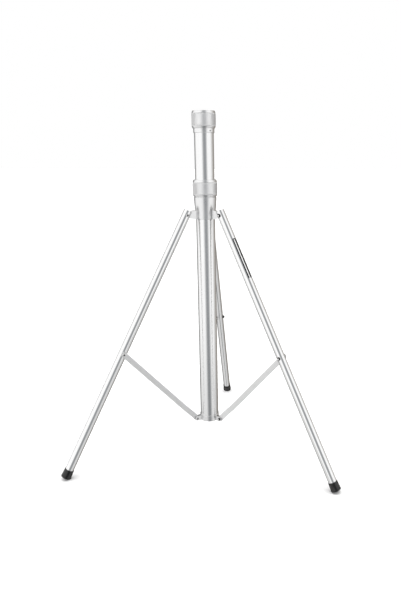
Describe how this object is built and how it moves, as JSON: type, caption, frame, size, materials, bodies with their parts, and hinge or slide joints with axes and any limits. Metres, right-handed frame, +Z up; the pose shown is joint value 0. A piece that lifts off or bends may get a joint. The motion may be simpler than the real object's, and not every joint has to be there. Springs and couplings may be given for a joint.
{
  "type": "speaker tripod stand",
  "caption": "Folding aluminium tripod stand: telescoping mast in a column, sliding hub with hinged tube legs, flat braces to a lower ring, knurled hand nuts and rubber feet.",
  "frame": {"origin": "on the floor, under the column's axis, midway between the feet", "axes": "+Z up along the column and mast; the rear leg points along +Y, the other two legs at 120 degrees to it; +X is to the right seen from the front"},
  "size_m": [0.8292, 0.7223, 1.0625],
  "materials": {
    "tube_anodised": "satin clear anodised, drawn along its length",
    "nut_knurled": "diamond knurled",
    "casting": "machined casting, satin",
    "brace_bar": "matte flat bar",
    "rubber_black": "moulded, semi-gloss",
    "nylon": "moulded",
    "fastener_dark": "black oxide",
    "label_blank": "satin film, blank"
  },
  "bodies": {
    "column": {"column_tube": "tube_anodised", "column_base_plug": "rubber_black", "bottom_ring": "casting", "lower_pivot_bolts": "fastener_dark", "lower_pivot_nuts": "fastener_dark", "top_collar": "casting", "top_collar_screws": "fastener_dark", "top_collet": "nylon"},
    "mast": {"mast_tube": "tube_anodised", "mast_guide_bush": "nylon", "mast_end_cap": "rubber_black", "mast_top_plug": "casting"},
    "top_nut": {"top_lock_nut": "nut_knurled"},
    "hub": {"hub_body": "casting", "hub_liner": "nylon", "hub_collet": "nylon"},
    "hub_nut": {"hub_lock_nut": "nut_knurled"},
    "leg_rear": {"leg_tube_rear": "tube_anodised", "foot_rear": "rubber_black", "leg_hinge_bolt_rear": "fastener_dark", "leg_hinge_nut_rear": "fastener_dark", "leg_hinge_spacers_rear": "nylon", "leg_brace_pin_rear": "fastener_dark", "leg_brace_nut_rear": "fastener_dark"},
    "brace_rear_arm": {"brace_rear": "brace_bar", "brace_bolt_rear": "fastener_dark", "brace_washer_rear": "nylon"},
    "leg_left": {"leg_tube_left": "tube_anodised", "foot_left": "rubber_black", "leg_hinge_bolt_left": "fastener_dark", "leg_hinge_nut_left": "fastener_dark", "leg_hinge_spacers_left": "nylon", "leg_brace_pin_left": "fastener_dark", "leg_brace_nut_left": "fastener_dark"},
    "brace_left_arm": {"brace_left": "brace_bar", "brace_bolt_left": "fastener_dark", "brace_washer_left": "nylon"},
    "leg_right": {"leg_tube_right": "tube_anodised", "foot_right": "rubber_black", "leg_hinge_bolt_right": "fastener_dark", "leg_hinge_nut_right": "fastener_dark", "leg_hinge_spacers_right": "nylon", "leg_brace_pin_right": "fastener_dark", "leg_brace_nut_right": "fastener_dark", "leg_label": "label_blank"},
    "brace_right_arm": {"brace_right": "brace_bar", "brace_bolt_right": "fastener_dark", "brace_washer_right": "nylon"}
  },
  "joints": [
    {"name": "hub_slide", "type": "slide", "parent": "column", "child": "hub", "axis": [0, 0, 1], "range_m": [0, 0.1305]},
    {"name": "mast_slide", "type": "slide", "parent": "column", "child": "mast", "axis": [0, 0, 1], "range_m": [0, 0.76]},
    {"name": "hub_nut_turn", "type": "hinge", "parent": "hub", "child": "hub_nut", "pos_m": [0, 0, 0.8201], "axis": [0, 0, 1], "range_deg": [0, 270]},
    {"name": "top_nut_turn", "type": "hinge", "parent": "column", "child": "top_nut", "pos_m": [0, 0, 1.0132], "axis": [0, 0, 1], "range_deg": [0, 270]},
    {"name": "leg_rear_fold", "type": "hinge", "parent": "hub", "child": "leg_rear", "pos_m": [0, 0.061, 0.7685], "axis": [-1, 0, 0], "range_deg": [0, 22.23]},
    {"name": "brace_rear_fold", "type": "hinge", "parent": "column", "child": "brace_rear_arm", "pos_m": [0, 0.0438, 0.1117], "axis": [1, 0, 0], "range_deg": [0, 31.21]},
    {"name": "leg_left_fold", "type": "hinge", "parent": "hub", "child": "leg_left", "pos_m": [-0.05283, -0.0305, 0.7685], "axis": [0.5, -0.866, 0], "range_deg": [0, 22.23]},
    {"name": "brace_left_fold", "type": "hinge", "parent": "column", "child": "brace_left_arm", "pos_m": [-0.03793, -0.0219, 0.1117], "axis": [-0.5, 0.866, 0], "range_deg": [0, 31.21]},
    {"name": "leg_right_fold", "type": "hinge", "parent": "hub", "child": "leg_right", "pos_m": [0.05283, -0.0305, 0.7685], "axis": [0.5, 0.866, 0], "range_deg": [0, 22.23]},
    {"name": "brace_right_fold", "type": "hinge", "parent": "column", "child": "brace_right_arm", "pos_m": [0.03793, -0.0219, 0.1117], "axis": [-0.5, -0.866, 0], "range_deg": [0, 31.21]}
  ],
  "couplings": [
    {"joint": "leg_rear_fold", "follows": "hub_slide", "rad_per_m": 2.9721},
    {"joint": "brace_rear_fold", "follows": "hub_slide", "rad_per_m": 4.1732},
    {"joint": "leg_left_fold", "follows": "hub_slide", "rad_per_m": 2.9721},
    {"joint": "brace_left_fold", "follows": "hub_slide", "rad_per_m": 4.1732},
    {"joint": "leg_right_fold", "follows": "hub_slide", "rad_per_m": 2.9721},
    {"joint": "brace_right_fold", "follows": "hub_slide", "rad_per_m": 4.1732}
  ]
}
